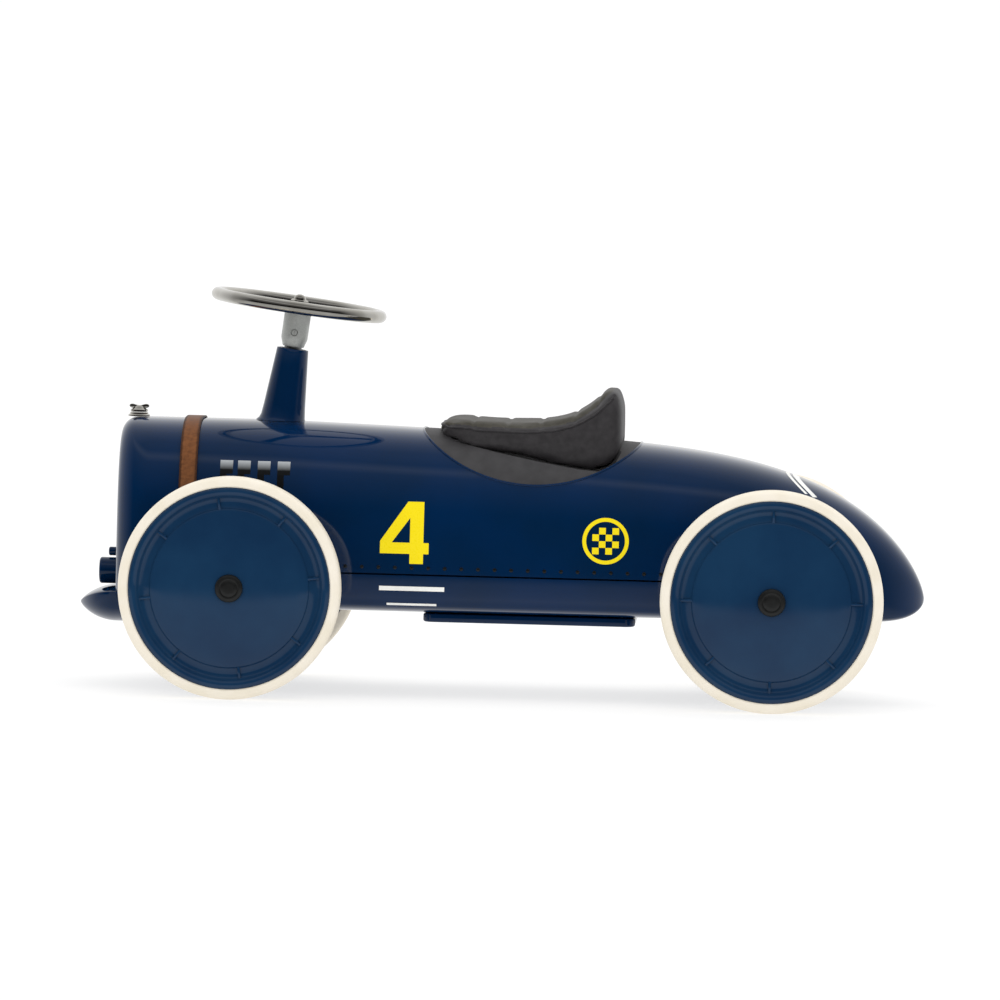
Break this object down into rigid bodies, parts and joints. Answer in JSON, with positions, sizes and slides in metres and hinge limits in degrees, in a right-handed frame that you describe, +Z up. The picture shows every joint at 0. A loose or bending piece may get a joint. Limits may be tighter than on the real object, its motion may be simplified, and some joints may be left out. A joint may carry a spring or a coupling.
{
  "type": "ride-on pedal car",
  "caption": "Vintage racing style ride-on car for a small child: boat-tailed steel body, padded seat, steering wheel that turns the front axle, and disc wheels with cream tyres.",
  "frame": {"origin": "on the ground, under the middle of the overall length and width", "axes": "+Z up, -X is the way the car faces, -Y is its left side"},
  "size_m": [0.776, 0.345, 0.3642],
  "materials": {
    "gloss_navy_paint": "gloss",
    "navy_plastic": "gloss",
    "chrome": "polished",
    "satin_metal": "satin",
    "bare_steel": "zinc plated",
    "nylon": "satin",
    "cream_rubber": "matte",
    "black_plastic": "satin",
    "grey_plastic": "matte",
    "brown_leather": "satin",
    "black_leather": "satin"
  },
  "bodies": {
    "chassis": {"upper_body_shell": "gloss_navy_paint", "lower_body_shell": "gloss_navy_paint", "belly_pan": "gloss_navy_paint", "radiator_grille": "chrome", "radiator_cap_base": "chrome", "radiator_cap": "chrome", "crank_boss": "gloss_navy_paint", "crank_pin": "gloss_navy_paint", "front_apron": "gloss_navy_paint", "bonnet_strap": "brown_leather", "strap_stud_left": "chrome", "strap_stud_right": "chrome", "cockpit_liner": "grey_plastic", "seat_board": "black_plastic", "seat_cushion": "black_leather", "seat_bolt_front": "bare_steel", "seat_bolt_rear": "bare_steel", "front_crossmember": "bare_steel", "steering_pedestal": "gloss_navy_paint", "upper_column_bush": "nylon", "lower_column_bush": "nylon", "rear_axle": "bare_steel", "rear_axle_bracket_left": "bare_steel", "rear_axle_bracket_right": "bare_steel", "axle_collar_rear_left": "bare_steel", "axle_collar_rear_right": "bare_steel", "hub_cap_rear_left": "black_plastic", "hub_cap_rear_right": "black_plastic"},
    "steering": {"steering_wheel_rim": "chrome", "steering_wheel_spider": "chrome", "steering_wheel_nut": "chrome", "hub_sleeve": "satin_metal", "sleeve_screw": "chrome", "steering_column": "bare_steel", "column_collar": "bare_steel", "front_yoke": "bare_steel", "front_axle": "bare_steel", "axle_collar_front_left": "bare_steel", "axle_collar_front_right": "bare_steel", "hub_cap_front_left": "black_plastic", "hub_cap_front_right": "black_plastic"},
    "wheel_front_left": {"tyre_front_left": "cream_rubber", "wheel_disc_front_left": "navy_plastic", "wheel_back_front_left": "navy_plastic", "wheel_bush_front_left": "nylon"},
    "wheel_front_right": {"tyre_front_right": "cream_rubber", "wheel_disc_front_right": "navy_plastic", "wheel_back_front_right": "navy_plastic", "wheel_bush_front_right": "nylon"},
    "wheel_rear_left": {"tyre_rear_left": "cream_rubber", "wheel_disc_rear_left": "navy_plastic", "wheel_back_rear_left": "navy_plastic", "wheel_bush_rear_left": "nylon"},
    "wheel_rear_right": {"tyre_rear_right": "cream_rubber", "wheel_disc_rear_right": "navy_plastic", "wheel_back_rear_right": "navy_plastic", "wheel_bush_rear_right": "nylon"}
  },
  "joints": [
    {"name": "steering_turn", "type": "hinge", "parent": "chassis", "child": "steering", "pos_m": [-0.224, 0, 0.105], "axis": [0.1219, 0, 0.9925], "range_deg": [-15, 15]},
    {"name": "wheel_spin_front_left", "type": "hinge", "parent": "steering", "child": "wheel_front_left", "pos_m": [-0.241, -0.1565, 0.1], "axis": [0, 1, 0], "continuous": true},
    {"name": "wheel_spin_front_right", "type": "hinge", "parent": "steering", "child": "wheel_front_right", "pos_m": [-0.241, 0.1565, 0.1], "axis": [0, 1, 0], "continuous": true},
    {"name": "wheel_spin_rear_left", "type": "hinge", "parent": "chassis", "child": "wheel_rear_left", "pos_m": [0.245, -0.1565, 0.1], "axis": [0, 1, 0], "continuous": true},
    {"name": "wheel_spin_rear_right", "type": "hinge", "parent": "chassis", "child": "wheel_rear_right", "pos_m": [0.245, 0.1565, 0.1], "axis": [0, 1, 0], "continuous": true}
  ]
}
